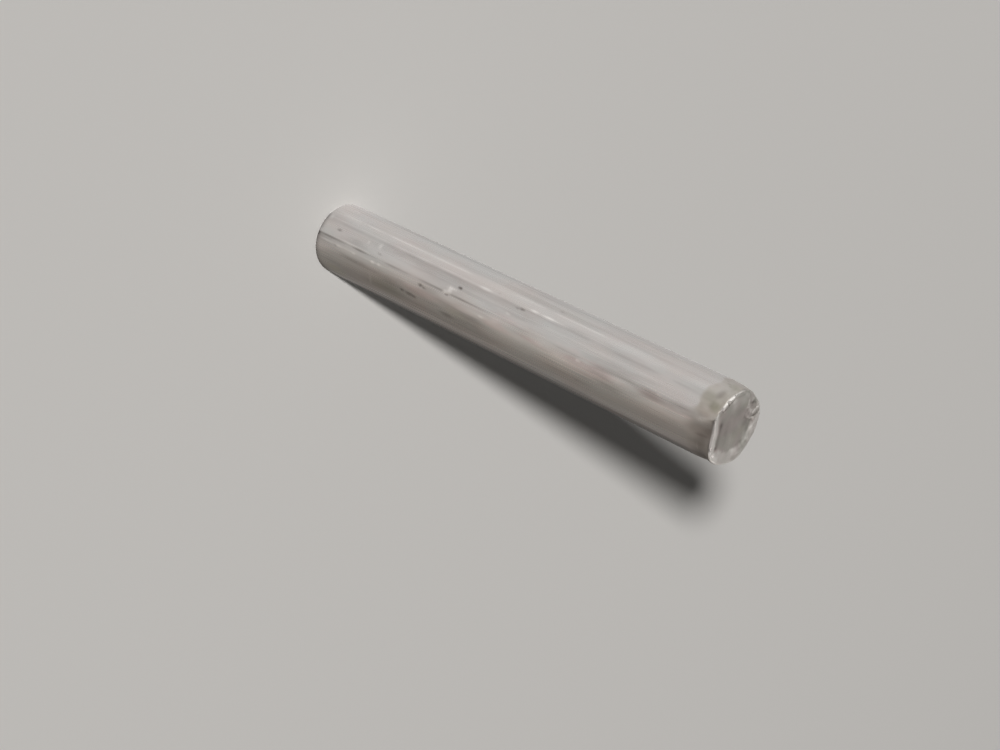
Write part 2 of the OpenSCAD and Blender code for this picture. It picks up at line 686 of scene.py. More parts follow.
@dataclass(frozen=True)
class Tip:
    """The worn face of the tip: its lip, its gouges and its torn metal.

    Attributes:
        strokes: ridges, grooves and streaks; ridges are painted lighter and grooves darker, a painted
            highlight and painted shade, and the flat strokes paint the tones of the edge and the rim, partly
            dirt, partly painted light and shade.
        spots: swellings, hollows and stains, most of them in the torn metal and along the rim; swellings are
            painted lighter and hollows darker, a painted highlight and painted shade.
        lips: where metal stands up along the narrow side of the rim.
        lip_inset: how far inside the tip's edge that metal is highest.
        lip_width: half the width of that metal on its steeper, outer side.
        burrs: where the broad side of the rim is turned up.
        burr_reach: how far inside the tip's edge the turned-up metal begins.
        flares: where the rim is spread outwards, or broken down inwards where negative.
        flare_reach: how far inside the tip's edge the spread metal begins.
        flare_below: how far below the tip the spread begins, and how far below it is complete.
        torn_centre: the middle of the torn metal.
        torn_radius: how far the torn metal reaches.
        torn_rise: height of the rough grain there.
        warp: how far the outlines of the marks wander.
        rim_rise: height of the grain on the rim.
        rim_edge: where the rim's look begins and is complete, from the edge of the flat outwards.
        rim_ragged: how far the coarse grain and the spoke grain move that edge.
        rim_shade: how much lighter the rim is painted than the flat: everywhere, and for each of the two
            grains; partly a lighter finish, partly painted light in place of reflected light.
        lip_slack: how many times as wide the lip is on its gentler, inner side.
        lip_shade: how much lighter the lip is painted for each millimetre of its height: a painted
            highlight.
        coarse: the coarse grain.
        coarse_shade: how light and dark the coarse grain is.
        fine: the fine grain.
        fine_rise: its height.
        torn_shade: how light and dark the fine grain is in the torn metal.
        spoke: the grain that runs across the rim.
        warp_x: what moves the marks along X.
        warp_y: what moves the marks along Y.
        cast: the pink and olive casts.
        cast_tint: how pink and olive the casts are.
    """

    strokes: tuple[Stroke, ...] = (
        # Ridges painted lighter and grooves darker along with their rise: painted highlight and painted
        # shade.
        Stroke((-2.52, 1.61), (-2.13, 1.73), 0.11, 0.013, 1.1),
        Stroke((-2.13, 1.73), (-1.66, 1.46), 0.10, 0.013, 1.0),
        Stroke((-1.79, 2.50), (-1.43, 2.28), 0.12, 0.011, 0.9),
        Stroke((-1.43, 2.28), (-0.90, 2.40), 0.11, 0.012, 0.9),
        Stroke((-0.88, 2.40), (-0.47, 2.24), 0.13, 0.010, 0.7),
        Stroke((-1.90, 2.06), (-1.36, 1.62), 0.14, -0.016, -0.8),
        Stroke((-2.30, 0.36), (-2.02, 0.52), 0.10, 0.012, 1.0),
        Stroke((-1.80, 0.62), (-1.60, 1.12), 0.11, 0.012, 0.9),
        Stroke((-1.22, 1.90), (-1.16, 1.10), 0.10, 0.012, 0.7),
        Stroke((-1.02, 2.04), (-1.02, 0.78), 0.10, -0.012, -0.35),
        Stroke((-2.66, 0.20), (-2.60, 1.20), 0.18, -0.014, -0.25),
        Stroke((-2.90, -0.20), (-2.50, 0.50), 0.14, -0.016, -0.55),
        Stroke((-2.50, -0.66), (-1.92, -1.66), 0.09, -0.006, -0.35),
        Stroke((-1.86, -1.80), (-1.30, -2.04), 0.09, -0.006, -1.15),
        Stroke((-1.22, -2.06), (-0.66, -2.42), 0.10, -0.006, -1.10),
        Stroke((-1.62, 2.70), (-0.66, 2.94), 0.12, -0.020, -0.60),
        # The strokes from here on are flat or nearly so, and their tones are painted: darker along the near
        # edge and lighter and darker patches on the rim, partly dirt, partly painted light and shade.
        Stroke((-0.62, -2.86), (0.62, -2.96), 0.14, 0.000, -0.65),
        Stroke((-2.16, -1.84), (-2.84, -0.70), 0.14, 0.000, -0.2),
        Stroke((0.62, -2.96), (1.20, -2.50), 0.10, 0.000, -0.3),
        Stroke((0.76, -2.30), (1.30, -1.86), 0.24, 0.000, 0.45),
        Stroke((2.20, -1.50), (2.86, -0.60), 0.18, 0.000, 0.45),
        Stroke((0.40, -1.80), (2.10, -1.05), 0.24, 0.000, -0.75),
        Stroke((0.40, 2.42), (2.10, 1.60), 0.32, 0.000, -0.50),
        Stroke((1.75, -2.22), (2.50, -1.66), 0.13, 0.000, 0.30),
        Stroke((0.30, 2.90), (0.42, 1.90), 0.13, 0.002, 0.35),
        Stroke((1.10, 2.40), (0.80, 1.75), 0.13, -0.002, -0.35),
        Stroke((1.70, 0.60), (0.60, 0.10), 0.16, 0.000, 0.15),
        Stroke((1.50, -0.20), (0.30, -0.80), 0.18, 0.000, -0.16),
    )
    spots: tuple[Spot, ...] = (
        # Swellings painted lighter and hollows darker along with their rise: painted highlight and painted
        # shade. The flat spots are painted tones: partly stains and pink and olive casts, partly painted
        # light and shade.
        Spot((-2.18, 1.00), 0.24, 0.34, -0.024, -1.15),
        Spot((-2.38, 1.30), 0.24, 0.26, -0.016, -0.7),
        Spot((-1.44, 1.66), 0.20, 0.18, -0.012, -0.6),
        Spot((-0.74, 1.36), 0.44, 0.60, -0.008, -0.55),
        Spot((-1.00, 1.86), 0.20, 0.26, -0.006, -0.45),
        Spot((-0.20, 1.84), 0.30, 0.24, -0.004, -0.35),
        Spot((-2.84, -0.40), 0.16, 0.26, -0.010, -0.8),
        Spot((-2.15, -0.50), 0.40, 0.60, 0.003, 0.50),
        Spot((-1.75, -1.54), 0.26, 0.26, 0.004, 1.30),
        Spot((-1.40, -1.15), 0.40, 0.40, 0.002, 0.55),
        Spot((0.43, 2.92), 0.20, 0.11, -0.012, -0.7),
        Spot((1.50, 2.62), 0.20, 0.12, -0.012, -0.7),
        Spot((2.28, -0.40), 0.22, 0.20, 0.003, 0.40),
        Spot((2.78, -1.00), 0.20, 0.26, 0.000, 0.80),
        Spot((2.92, -0.30), 0.14, 0.34, 0.004, 0.60),
        Spot((2.12, -1.20), 0.18, 0.22, -0.003, -0.50),
        Spot((1.95, 0.61), 0.24, 0.40, -0.002, -0.30),
        Spot((0.31, -1.92), 0.34, 0.34, -0.002, -0.35),
        Spot((-1.15, -0.13), 0.50, 0.44, 0.000, -0.22),
        Spot((0.11, 1.80), 0.34, 0.24, 0.000, 0.45),
        Spot((-0.50, 1.10), 0.34, 0.30, 0.000, -0.25),
        Spot((-0.10, 2.42), 0.70, 0.26, 0.000, -0.60),
        Spot((-0.49, -2.82), 0.16, 0.13, 0.000, -1.10),
        Spot((0.10, -0.30), 1.30, 1.30, 0.000, -0.11),
        Spot((-1.92, 2.34), 0.22, 0.22, 0.000, 1.40),
        Spot((-2.25, -1.20), 0.34, 0.34, 0.000, 0.30),
        Spot((-1.25, 2.45), 0.50, 0.28, 0.000, 0.50),
        Spot((1.30, -2.00), 0.80, 0.34, 0.000, -0.05, 2.0),
        Spot((2.30, -0.60), 0.40, 0.60, 0.000, 0.10, 1.6),
        Spot((0.25, -2.40), 0.60, 0.30, 0.000, 0.05, 1.2),
        Spot((-1.20, 0.00), 0.60, 0.60, 0.000, 0.00, 0.4),
        Spot((-0.10, 1.10), 0.45, 0.50, 0.000, 0.00, -1.0),
        Spot((0.70, 0.40), 0.50, 0.70, 0.000, 0.05, -0.6),
        Spot((0.90, -0.90), 0.50, 0.40, 0.000, -0.25, -0.3),
        Spot((-0.30, -2.40), 0.35, 0.30, 0.000, 0.00, -0.8),
        Spot((-1.90, 0.30), 0.35, 0.35, 0.000, 0.10, -0.7),
    )
    lips: tuple[RimMark, ...] = (
        RimMark(-40.5, 10.0, 0.092),
        RimMark(-23.0, 8.8, 0.092),
        RimMark(-62.0, 16.0, 0.018),
        RimMark(60.0, 18.0, 0.034),
        RimMark(78.0, 13.0, 0.030),
    )
    lip_inset: float = 0.36
    lip_width: float = 0.19
    burrs: tuple[RimMark, ...] = (RimMark(176.0, 80.0, 0.17), RimMark(142.0, 26.0, 0.03))
    burr_reach: float = 1.3
    flares: tuple[RimMark, ...] = (
        RimMark(106.0, 56.0, 0.12),
        RimMark(-146.0, 36.0, 0.07),
        RimMark(-98.0, 30.0, -0.06),
        RimMark(-32.0, 46.0, -0.15),
        RimMark(-1.0, 12.0, 0.07),
    )
    flare_reach: float = 0.7
    flare_below: tuple[float, float] = (0.75, 0.15)
    torn_centre: tuple[float, float] = (-1.75, 1.40)
    torn_radius: float = 1.15
    torn_rise: float = 0.012
    warp: float = 0.12
    rim_rise: float = 0.008
    rim_edge: tuple[float, float] = (-0.16, 0.22)
    rim_ragged: tuple[float, float] = (0.20, 0.12)
    rim_shade: tuple[float, float, float] = (0.74, 0.16, 0.24)
    lip_slack: float = 1.9
    lip_shade: float = 15.0
    coarse: Layered = Layered(51, 9, 9, 4)
    coarse_shade: float = 0.22
    fine: Layered = Layered(61, 40, 40, 2)
    fine_rise: float = 0.0012
    torn_shade: float = 0.5
    spoke: Layered = Layered(57, 26, 2, 2)
    warp_x: Layered = Layered(63, 14, 14, 2)
    warp_y: Layered = Layered(67, 14, 14, 2)
    cast: Layered = Layered(71, 5, 5, 2)
    cast_tint: float = 0.35

    def torn(self, x: Array, y: Array) -> Array:
        """How torn the metal is: 1 in the middle of the torn patch, falling to 0 outside it."""
        distance = np.hypot(x - self.torn_centre[0], y - self.torn_centre[1])
        return 1.0 - smooth_step(distance, self.torn_radius * 0.55, self.torn_radius * 1.1)

    def relief(self, sizes: PinSizes, x: Array, y: Array) -> tuple[Array, Array, Array]:
        """The rise of the marks on the face, how light they are painted, partly as painted highlight and
        painted shade, and how pink their metal is.

        Args:
            sizes: the pin's sizes.
            x: places along X.
            y: places along Y.

        Returns:
            The rise in millimetres, and the shade and the tint about 0.
        """
        span = 2.0 * sizes.radius
        place = x / span + 0.5, y / span + 0.5
        coarse, fine = self.coarse.at(*place), self.fine.at(*place)
        torn = self.torn(x, y)
        radius, turn = np.hypot(x, y), np.degrees(np.arctan2(x, -y))
        spoke = self.spoke.at(turn / 360.0, radius / span)
        wander = self.warp * (0.35 + torn)
        warped_x = x + wander * self.warp_x.at(*place)
        warped_y = y + wander * self.warp_y.at(*place)
        rise = torn * self.torn_rise * (1.0 - 2.0 * np.abs(coarse)) + self.fine_rise * fine
        shade = self.coarse_shade * coarse + torn * self.torn_shade * fine
        tint = self.cast_tint * self.cast.at(*place)
        for mark in (*self.strokes, *self.spots):
            weight = mark.weight(warped_x, warped_y)
            rise += mark.rise * weight
            shade += mark.shade * weight
            if isinstance(mark, Spot):
                tint += mark.tint * weight
        off_flat = sizes.off_flat(x, y) + self.rim_ragged[0] * coarse + self.rim_ragged[1] * spoke
        outside = smooth_step(off_flat, *self.rim_edge)
        rise += outside * self.rim_rise * coarse
        # The rim is painted lighter than the flat: partly a lighter finish, partly painted light in place of
        # reflected light.
        plain, by_coarse, by_spoke = self.rim_shade
        shade += outside * (1.0 - 0.85 * torn) * (plain + by_coarse * coarse + by_spoke * spoke)
        inward = sizes.tip_radius - radius - self.lip_inset
        crest = bump_of(inward, np.where(inward > 0.0, self.lip_slack * self.lip_width, self.lip_width))
        lip = sum(mark.weight(turn) for mark in self.lips)
        rise += lip * crest * (1.0 + 0.2 * coarse)
        # The lip is painted lighter along its crest: a painted highlight.
        shade += self.lip_shade * lip * bump_of(inward + 0.8 * self.lip_width, 1.3 * self.lip_width)
        burr = sum(mark.weight(turn) for mark in self.burrs)
        rise += burr * smooth_step(inward + self.lip_inset, self.burr_reach, 0.05) * (0.9 + 0.2 * coarse)
        return rise, shade, tint

    def flare(self, sizes: PinSizes, radius: Array, turn: Array, height: Array) -> Array:
        """How far the rim is spread outwards: fully at the edge, and not at all away from it.

        Args:
            sizes: the pin's sizes.
            radius: the radius of each point.
            turn: the turn of each point.
            height: the height of each point.

        Returns:
            The spread in millimetres, negative where the rim is broken down.
        """
        begins, complete = (sizes.length - below for below in self.flare_below)
        on_lead = smooth_step(height, begins, complete)
        near_edge = smooth_step(radius, sizes.tip_radius - self.flare_reach, sizes.tip_radius)
        return sum(mark.weight(turn) for mark in self.flares) * on_lead * near_edge


# ---------------------------------------------------------------- the film on the lead


@dataclass(frozen=True)
class DullFilm:
    """The dull film on the lead, which is thick on one side and thins out softly on the other.

    Attributes:
        thickest: how much of it covers the metal on the thick side, where 1 is all of it.
        worn_turn: the middle of the side where it is rubbed.
        worn_spread: how far that side reaches to both sides of its middle, in degrees.
        worn_loss: how much of it is gone there.
        dent_turn: where the dent has broken it.
        dent_spread: how far that reaches, in degrees.
        dent_loss: how much of it is gone there.
        thin_from: the turns between which the thin side begins.
        thin_to: the turns between which it ends.
        thin_loss: how much of it is gone on the thin side.
        edge: how far above the start of the lead its lower edge lies on the thick side.
        thin_edge: how much lower that edge lies on the thin side.
        softness: width of that edge on the thick side.
        thin_softness: how much wider it is on the thin side.
        ragged: what moves its lower edge up and down.
        ragged_reach: how far that moves it.
        patchy: what makes it patchy.
        patchy_share: how patchy it is.
    """

    thickest: float = 0.88
    worn_turn: float = -52.0
    worn_spread: float = 26.0
    worn_loss: float = 0.34
    dent_turn: float = 14.0
    dent_spread: float = 8.0
    dent_loss: float = 0.4
    thin_from: tuple[float, float] = (-9.0, 12.0)
    thin_to: tuple[float, float] = (100.0, 150.0)
    thin_loss: float = 0.45
    edge: float = 0.05
    thin_edge: float = 0.25
    softness: float = 0.17
    thin_softness: float = 0.75
    ragged: Layered = Layered(91, 20, 3, 4)
    ragged_reach: float = 0.34
    patchy: Layered = Layered(93, 14, 40, 3)
    patchy_share: float = 0.24

    def cover(self, sizes: PinSizes, turn: Array, height: Array) -> Array:
        """How much of the film covers the metal: most of the lead, from a ragged line upwards.

        Args:
            sizes: the pin's sizes.
            turn: the turn of each point.
            height: the height of each point.

        Returns:
            The share of the film at each point, from 0 to 1.
        """
        place = turn / 360.0, height / sizes.length
        from_front = turn_between(turn, 0.0)
        thin_side = smooth_step(from_front, *self.thin_from) * (1.0 - smooth_step(from_front, *self.thin_to))
        softness = self.softness + self.thin_softness * thin_side
        above = height - sizes.lead_start + self.ragged_reach * self.ragged.at(*place)
        above = above - self.edge + self.thin_edge * thin_side
        worn = self.worn_loss * bump_of(turn_between(turn, self.worn_turn), self.worn_spread)
        broken = self.dent_loss * bump_of(turn_between(turn, self.dent_turn), self.dent_spread)
        thick = self.thickest - worn - self.thin_loss * thin_side - broken
        patchy = self.patchy_share * self.patchy.at(*place)
        return smooth_step(above / softness, -1.0, 1.0) * np.clip(thick + patchy, 0.0, 1.0)


# ---------------------------------------------------------------- the whole pin


@dataclass
class DowelPin:
    """The pin's mesh, from the middle of the plain end to the middle of the tip.

    Attributes:
        sizes: the pin's sizes.
        shank: the marks on the shank.
        tip: the marks on the tip.
        dent: the dent in the rim.
        film: the dull film on the lead.
        around: how many points go round the pin.
        lead_smoother: how much of the shank's relief is lost on the lead.
        lead_plainer: how much of its shades is lost there.
        crest_shade: how much lighter the crest of the dent's lip is painted: a painted highlight.
    """

    sizes: PinSizes
    shank: Shank = Shank()
    tip: Tip = Tip()
    dent: Dent = Dent()
    film: DullFilm = DullFilm()
    around: int = 320
    lead_smoother: float = 0.8
    lead_plainer: float = 0.4
    crest_shade: float = 0.85

    def shank_heights(self) -> Array:
        """Heights of the rows on the shank, closer together wherever there is a pit.

        The wish for rows at each height is 1 plus a bell round each pit, at most 4.5, and the rows
        share the sum of that wish evenly.
        """
        more, most, margin, samples = 4.0, 4.5, 0.35, 4000
        height = np.linspace(self.sizes.base_round, self.sizes.lead_start, samples)
        wish = np.ones(height.size)
        for pit in self.shank.pits:
            wish += more * bump_of(height - pit.height, pit.tall + margin)
        total = np.cumsum(np.minimum(wish, most))
        share = np.linspace(0.0, 1.0, ROWS[Zone.SHANK], endpoint=False)
        return np.interp(share, (total - total[0]) / (total[-1] - total[0]), height)

    def edge_curve(self, share: Array, turn: Array) -> tuple[Array, Array]:
        """The small round over the edge, a curve with one control point at the sharp corner.

        Args:
            share: how far over the edge, from 0 on the lead to 1 on the face.
            turn: the turn of each point.

        Returns:
            The radius and the height of each point.
        """
        s = self.sizes
        corner_r, corner_z = self.corner(turn)
        lead_r = corner_r + s.edge_round * math.tan(math.radians(s.lead_angle))
        face_r = corner_r - s.edge_round
        face_z = s.length - s.rim_fall(*self.flat_place(face_r, turn))
        low, middle, high = (1 - share) ** 2, 2 * share * (1 - share), share**2
        radius = low * lead_r + middle * corner_r + high * face_r
        height = low * (corner_z - s.edge_round) + middle * corner_z + high * face_z
        return radius, height

    def flat_place(self, radius: Array, turn: Array) -> tuple[Array, Array]:
        """X and Y of a radius and a turn."""
        angle = np.radians(turn)
        return radius * np.sin(angle), -radius * np.cos(angle)

    def corner(self, turn: Array) -> tuple[Array, Array]:
        """Radius and height of the sharp corner where the lead would meet the rim."""
        s = self.sizes
        radius = np.full(turn.shape, s.tip_radius)
        fall = s.rim_fall(*self.flat_place(radius, turn))
        return radius + fall * math.tan(math.radians(s.lead_angle)), s.length - fall

    def outline(self) -> tuple[Array, Array, Array, Array]:
        """The plain outline at every turn, before any mark.

        Returns:
            Radius, height, turn and how far through the zones, each one row a step along the outline.
        """
        s = self.sizes
        turn = np.linspace(0.0, 360.0, self.around, endpoint=False)[None, :]
        corner_r, corner_z = self.corner(turn)
        radii, heights, zones = [], [], []

        def add(zone: Zone, radius: Array, height: Array) -> None:
            """Appends a zone's rows, numbered from the zone's place in the order up to the next."""
            shape = (ROWS[zone], self.around)
            radii.append(np.broadcast_to(radius, shape))
            heights.append(np.broadcast_to(height, shape))
            zones.append(np.broadcast_to(zone.place + steps(zone), shape))

        def steps(zone: Zone, start: float = 0.0) -> Array:
            """Even shares from start up to, and without, 1 as a column."""
            return np.linspace(start, 1.0, ROWS[zone], endpoint=False)[:, None]

        flat_edge = s.radius - s.base_round
        add(Zone.BASE, flat_edge * steps(Zone.BASE, 0.12), np.zeros((1, 1)))
        quarter = steps(Zone.BASE_EDGE) * math.pi / 2
        add(Zone.BASE_EDGE, flat_edge + s.base_round * np.sin(quarter), s.base_round * (1 - np.cos(quarter)))
        add(Zone.SHANK, np.full((1, 1), s.radius), self.shank_heights()[:, None])
        lead_top = corner_z - s.edge_round
        lead_z = s.lead_start + (lead_top - s.lead_start) * steps(Zone.LEAD)
        add(Zone.LEAD, s.radius - (lead_z - s.lead_start) * math.tan(math.radians(s.lead_angle)), lead_z)
        add(Zone.EDGE, *self.edge_curve(steps(Zone.EDGE), turn))
        inward = (corner_r - s.edge_round) * (1.0 - 0.94 * steps(Zone.FACE))
        add(Zone.FACE, inward, s.length - s.rim_fall(*self.flat_place(inward, turn)))
        turns = np.broadcast_to(turn, (sum(ROWS.values()), self.around))
        return np.vstack(radii), np.vstack(heights), turns, np.vstack(zones)

    def surface(self) -> tuple[Array, dict[str, Array]]:
        """The finished surface: the outline, then the marks, then the dent.

        Returns:
            Points as rows, places round the pin and X, Y, Z, and the named shades of the metal.
        """
        s = self.sizes
        radius, height, turn, zone = self.outline()
        on_face = smooth_step(zone, Zone.EDGE.place, Zone.FACE.place)
        worn = smooth_step(zone, Zone.EDGE.place + 0.4, Zone.FACE.place)
        over_edge = smooth_step(height, s.lead_start - 0.1, s.lead_start + 0.5)
        on_shank = smooth_step(zone, Zone.BASE_EDGE.place, Zone.SHANK.place) * (1.0 - on_face)
        shank_rise, shank_shade, tint = self.shank.relief(s, turn, height)
        radius = radius + shank_rise * on_shank * (1.0 - self.lead_smoother * over_edge)
        radius = radius + self.tip.flare(s, radius, turn, height)
        x, y = self.flat_place(radius, turn)
        tip_rise, tip_shade, tip_tint = self.tip.relief(s, x, y)
        z = height + tip_rise * on_face
        x, y, z, crest = self.dent.press(s, x, y, z, on_face)
        # The shades paint the marks lighter and darker: partly stains, wear and dirt, partly painted glints,
        # highlights and shade.
        shades = {
            "streaks_glints_and_shade": shank_shade * (1.0 - self.lead_plainer * over_edge),
            "tint": tint + (tip_tint - tint) * on_face,
            "film": self.film.cover(s, turn, height) * (1.0 - worn),
            "face": worn,
            "relief": tip_shade * on_face + self.crest_shade * crest,
        }
        return np.stack((x, y, z), axis=-1) * MM, shades

    def build(self) -> bpy.types.Object:
        """Makes the closed mesh, with its shades as attributes, and returns its object."""
        points, shades = self.surface()
        rows, around, _ = points.shape
        ends = np.array([[0.0, 0.0, 0.0], [0.0, 0.0, points[-1, :, 2].mean()]])
        mesh = bpy.data.meshes.new("worn_pin")
        places = np.vstack((points.reshape(-1, 3), ends))
        corners, counts = self.faces(rows, around)
        mesh.vertices.add(len(places))
        mesh.vertices.foreach_set("co", places.astype(np.float32).ravel())
        mesh.loops.add(len(corners))
        mesh.loops.foreach_set("vertex_index", corners)
        mesh.polygons.add(len(counts))
        mesh.polygons.foreach_set("loop_start", np.concatenate(([0], np.cumsum(counts)[:-1])))
        mesh.update(calc_edges=True)
        mesh.validate()
        mesh.shade_smooth()
        for name, values in shades.items():
            last = np.array([values[0].mean(), values[-1].mean()])
            layer = mesh.attributes.new(name, "FLOAT", "POINT")
            layer.data.foreach_set("value", np.concatenate((values.ravel(), last)).astype(np.float32))
        return add_object("worn_pin", mesh)

    @staticmethod
    def faces(rows: int, around: int) -> tuple[Array, Array]:
        """Quads between neighbouring rows, and a fan of triangles round each end's middle.

        Args:
            rows: how many rows of points there are.
            around: how many points each row has.

        Returns:
            The corners of all faces one after another, and how many each face has.
        """
        row, place = np.arange(rows - 1)[:, None] * around, np.arange(around)[None, :]
        after = (place + 1) % around
        quads = np.stack((row + place, row + after, row + around + after, row + around + place), axis=-1)
        place, after = place[0], after[0]
        base_middle, tip_middle, last = rows * around, rows * around + 1, (rows - 1) * around
        base_fan = np.stack((np.full(around, base_middle), after, place), axis=-1)
        tip_fan = np.stack((last + place, last + after, np.full(around, tip_middle)), axis=-1)
        corners = np.concatenate((quads.ravel(), base_fan.ravel(), tip_fan.ravel()))
        counts = np.concatenate((np.full(quads.size // 4, 4), np.full(2 * around, 3)))
        return corners.astype(np.int32), counts.astype(np.int32)


# ---------------------------------------------------------------- the metal


@dataclass
class Bench:
    """A material's node tree, with short ways to add the nodes that the finishes need."""

    tree: bpy.types.NodeTree

    def node(self, kind: str, **settings: object) -> bpy.types.Node:
        """Adds a node and sets its properties."""
        made = self.tree.nodes.new(kind)
        for name, value in settings.items():
            setattr(made, name, value)
        return made

    def plug(self, socket: Socket, value: object) -> None:
        """Links a socket to another node's output, or sets its value."""
        if isinstance(value, Socket):
            self.tree.links.new(value, socket)
        else:
            socket.default_value = value

    def fill(self, made: bpy.types.Node, values: dict[str, object]) -> None:
        """Links or sets several of a node's sockets by name."""
        for name, value in values.items():
            self.plug(made.inputs[name], value)

    def maths(self, operation: str, first: object, second: object) -> Socket:
        """The result of a maths node."""
        made = self.node("ShaderNodeMath", operation=operation)
        self.plug(made.inputs[0], first)
        self.plug(made.inputs[1], second)
        return made.outputs[0]

    def shade(self, name: str) -> Socket:
        """One of the mesh's named shades."""
        return self.node("ShaderNodeAttribute", attribute_name=name).outputs["Fac"]

    def place(self, scale: tuple[float, float, float]) -> Socket:
        """Object coordinates, scaled."""
        where = self.node("ShaderNodeTexCoord")
        scaled = self.node("ShaderNodeMapping")
        self.fill(scaled, {"Vector": where.outputs["Object"], "Scale": scale})
        return scaled.outputs["Vector"]

    def noise(self, scale: tuple[float, float, float], detail: float, rough: float) -> Socket:
        """Noise between 0 and 1 whose cells per metre along X, Y and Z are given by scale."""
        made = self.node("ShaderNodeTexNoise")
        self.fill(made, {"Vector": self.place(scale), "Scale": 1.0, "Detail": detail, "Roughness": rough})
        return made.outputs["Fac"]

    def span(self, value: Socket, low: float, high: float, to_low: float, to_high: float) -> Socket:
        """Moves a value from one range to another and keeps it there."""
        made = self.node("ShaderNodeMapRange")
        for number, given in enumerate((value, low, high, to_low, to_high)):
            self.plug(made.inputs[number], given)
        return made.outputs[0]

    def blend(self, share: object, first: object, second: object) -> Socket:
        """A mix of two colours."""
        made = self.node("ShaderNodeMix", data_type="RGBA")
        self.plug(made.inputs["Factor"], share)
        self.plug(made.inputs["A"], first)
        self.plug(made.inputs["B"], second)
        return next(out for out in made.outputs if out.type == "RGBA")

    def pull(self, value: Socket, base: object, colour: Colour, limit: float, share: float) -> Socket:
        """Mixes a colour in more and more as a value goes from 0 to a limit above or below it.

        Args:
            value: the value.
            base: the colour where the value is 0.
            colour: the colour that is mixed in.
            limit: the value from which on nothing more is mixed in.
            share: the share of the colour there.

        Returns:
            The mixed colour.
        """
        if limit > 0.0:
            return self.blend(self.span(value, 0.0, limit, 0.0, share), base, colour)
        return self.blend(self.span(value, limit, 0.0, share, 0.0), base, colour)

    def ramp(self, share: Socket, stops: list[tuple[float, Colour]]) -> Socket:
        """A colour that goes from stop to stop, each a place from 0 to 1 and its colour."""
        made = self.node("ShaderNodeValToRGB")
        self.plug(made.inputs["Fac"], share)
        elements = made.color_ramp.elements
        for number, (place, colour) in enumerate(stops):
            element = elements[number] if number < 2 else elements.new(place)
            element.position, element.color = place, colour
        return made.outputs["Color"]


def new_material(name: str) -> tuple[bpy.types.Material, Bench, bpy.types.Node]:
    """A new material, a bench for its nodes, and the shader that it comes with."""
    made = bpy.data.materials.new(name)
    made.use_nodes = True
    return made, Bench(made.node_tree), made.node_tree.nodes["Principled BSDF"]


def new_card(name: str, places: Array, faces: Array, paint: bpy.types.Material) -> bpy.types.Object:
    """Makes an object of a few faces and gives it its paint."""
    mesh = bpy.data.meshes.new(name)
    mesh.from_pydata(places.tolist(), [], faces.tolist())
    mesh.materials.append(paint)
    return add_object(name, mesh)


def show_in_metal_only(card: bpy.types.Object) -> None:
    """Hides a card from everything but reflections."""
    card.visible_camera = card.visible_diffuse = card.visible_shadow = False
    card.visible_transmission = card.visible_volume_scatter = False


